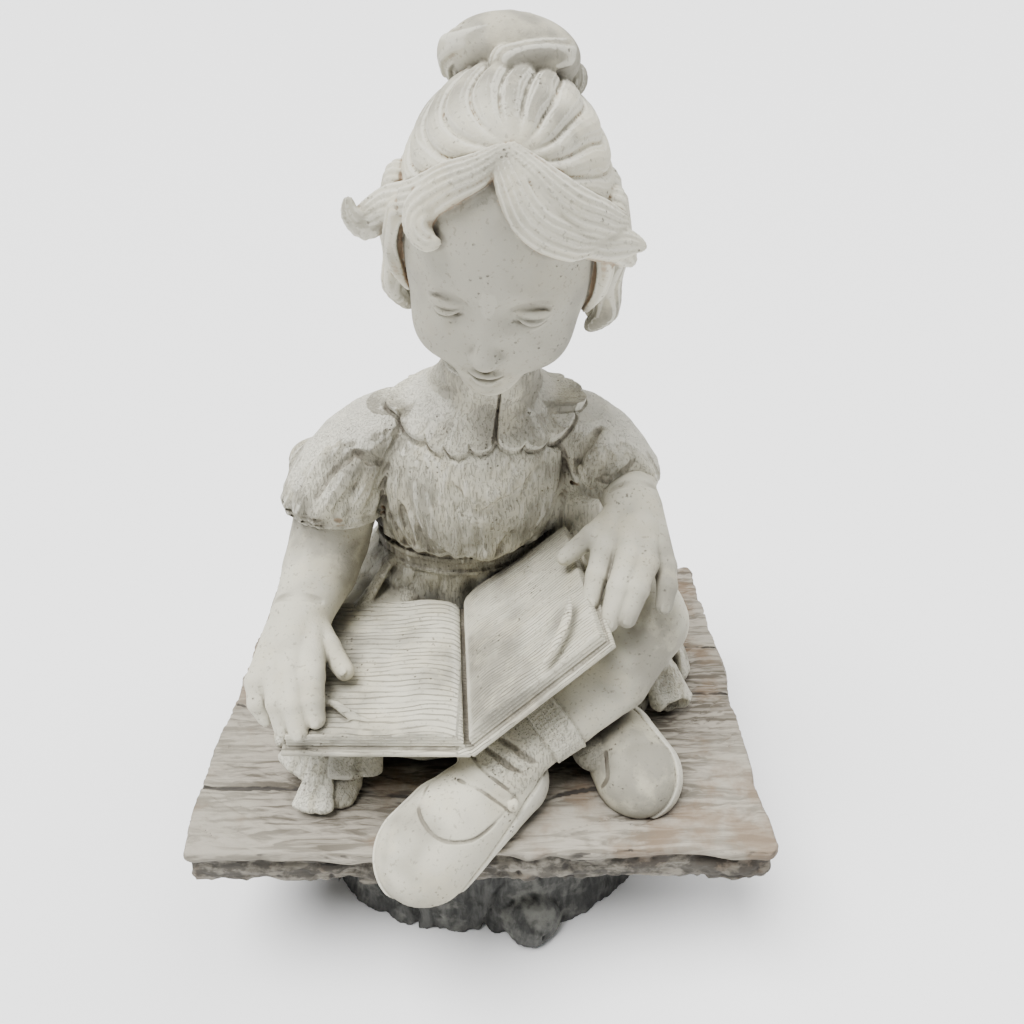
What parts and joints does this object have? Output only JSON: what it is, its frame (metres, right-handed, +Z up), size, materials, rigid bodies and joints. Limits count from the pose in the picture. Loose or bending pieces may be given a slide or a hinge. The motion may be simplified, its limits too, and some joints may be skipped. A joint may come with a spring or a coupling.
{
  "type": "seated reading girl garden statue",
  "caption": "Cast stone garden statue of a seated girl reading an open book, on a weathered plank carried by a tree-stump foot.",
  "frame": {"origin": "centre of the stump's flat underside, where the statue stands on the ground", "axes": "+Z up, -Y the way the girl faces, +X towards her left hand"},
  "size_m": [0.4095, 0.3501, 0.6151],
  "materials": {
    "pale_cast_stone": "pale weathered cast stone with pinholes, brush strokes in the cloth and dirt in the folds",
    "weathered_plank_stone": "cast stone in the look of a weathered plank, with brown stains and a dark chipped edge",
    "dark_bark_stone": "dark mossy cast stone in the look of bark"
  },
  "bodies": {
    "root": {"girl_with_book": "pale_cast_stone", "plank_seat": "weathered_plank_stone", "stump_foot": "dark_bark_stone"}
  },
  "joints": []
}
